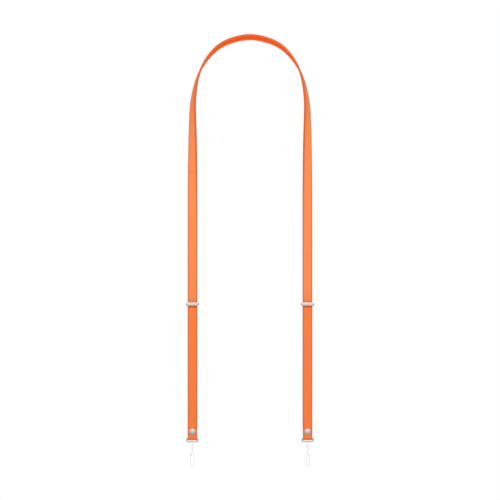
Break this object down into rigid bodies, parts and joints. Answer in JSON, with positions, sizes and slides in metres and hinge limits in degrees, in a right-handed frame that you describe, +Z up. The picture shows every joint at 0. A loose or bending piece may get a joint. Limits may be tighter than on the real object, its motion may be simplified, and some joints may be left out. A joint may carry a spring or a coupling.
{
  "type": "strap lanyard",
  "caption": "Slim woven strap hung as an arch, with metal sliders that set its length, strap ends riveted round wire rings, and thin cord loops to hang an item from.",
  "frame": {"origin": "on the underside of the main strap at the crown of the arch, where a shoulder, neck or hook carries the lanyard", "axes": "+Z up, +X across the two legs towards the right leg, -Y the way the front faces of the legs look"},
  "size_m": [0.1562, 0.0266, 0.5308],
  "materials": {
    "main_webbing": "fine woven orange strap",
    "end_webbing": "fine woven orange strap",
    "slider_metal": "satin nickel plate",
    "stud_metal": "satin nickel plate",
    "ring_metal": "polished nickel plate",
    "inner_steel": "plain steel",
    "loop_cord": "fine braided off-white cord",
    "splice_sleeve": "shrunk plastic sleeve"
  },
  "bodies": {
    "root": {"main_strap": "main_webbing", "left_tail_tip": "inner_steel", "right_tail_tip": "inner_steel"},
    "left_end": {"left_slider_front": "slider_metal", "left_slider_back": "slider_metal", "left_slider_screws": "inner_steel", "left_slider_pin": "inner_steel", "left_slider_spring": "inner_steel", "left_end_strap": "end_webbing", "left_stud_cap": "stud_metal", "left_stud_socket": "inner_steel", "left_stud_rivet": "stud_metal"},
    "left_ring": {"left_end_ring": "ring_metal"},
    "left_loop": {"left_cord_loop": "loop_cord", "left_loop_splice": "splice_sleeve"},
    "right_end": {"right_slider_front": "slider_metal", "right_slider_back": "slider_metal", "right_slider_screws": "inner_steel", "right_slider_pin": "inner_steel", "right_slider_spring": "inner_steel", "right_end_strap": "end_webbing", "right_stud_cap": "stud_metal", "right_stud_socket": "inner_steel", "right_stud_rivet": "stud_metal"},
    "right_ring": {"right_end_ring": "ring_metal"},
    "right_loop": {"right_cord_loop": "loop_cord", "right_loop_splice": "splice_sleeve"}
  },
  "joints": [
    {"name": "left_length_slide", "type": "slide", "parent": "root", "child": "left_end", "axis": [0, 0, 1], "range_m": [-0.141, 0]},
    {"name": "left_ring_swing", "type": "hinge", "parent": "left_end", "child": "left_ring", "pos_m": [-0.0701, -0.0174, -0.49145], "axis": [1, 0, 0], "range_deg": [-90, 90]},
    {"name": "left_loop_swing", "type": "hinge", "parent": "left_ring", "child": "left_loop", "pos_m": [-0.0701, -0.0174, -0.49515], "axis": [1, 0, 0], "range_deg": [-60, 60]},
    {"name": "right_length_slide", "type": "slide", "parent": "root", "child": "right_end", "axis": [0, 0, 1], "range_m": [-0.141, 0]},
    {"name": "right_ring_swing", "type": "hinge", "parent": "right_end", "child": "right_ring", "pos_m": [0.0701, -0.0174, -0.49145], "axis": [1, 0, 0], "range_deg": [-90, 90]},
    {"name": "right_loop_swing", "type": "hinge", "parent": "right_ring", "child": "right_loop", "pos_m": [0.0701, -0.0174, -0.49515], "axis": [1, 0, 0], "range_deg": [-60, 60]}
  ]
}
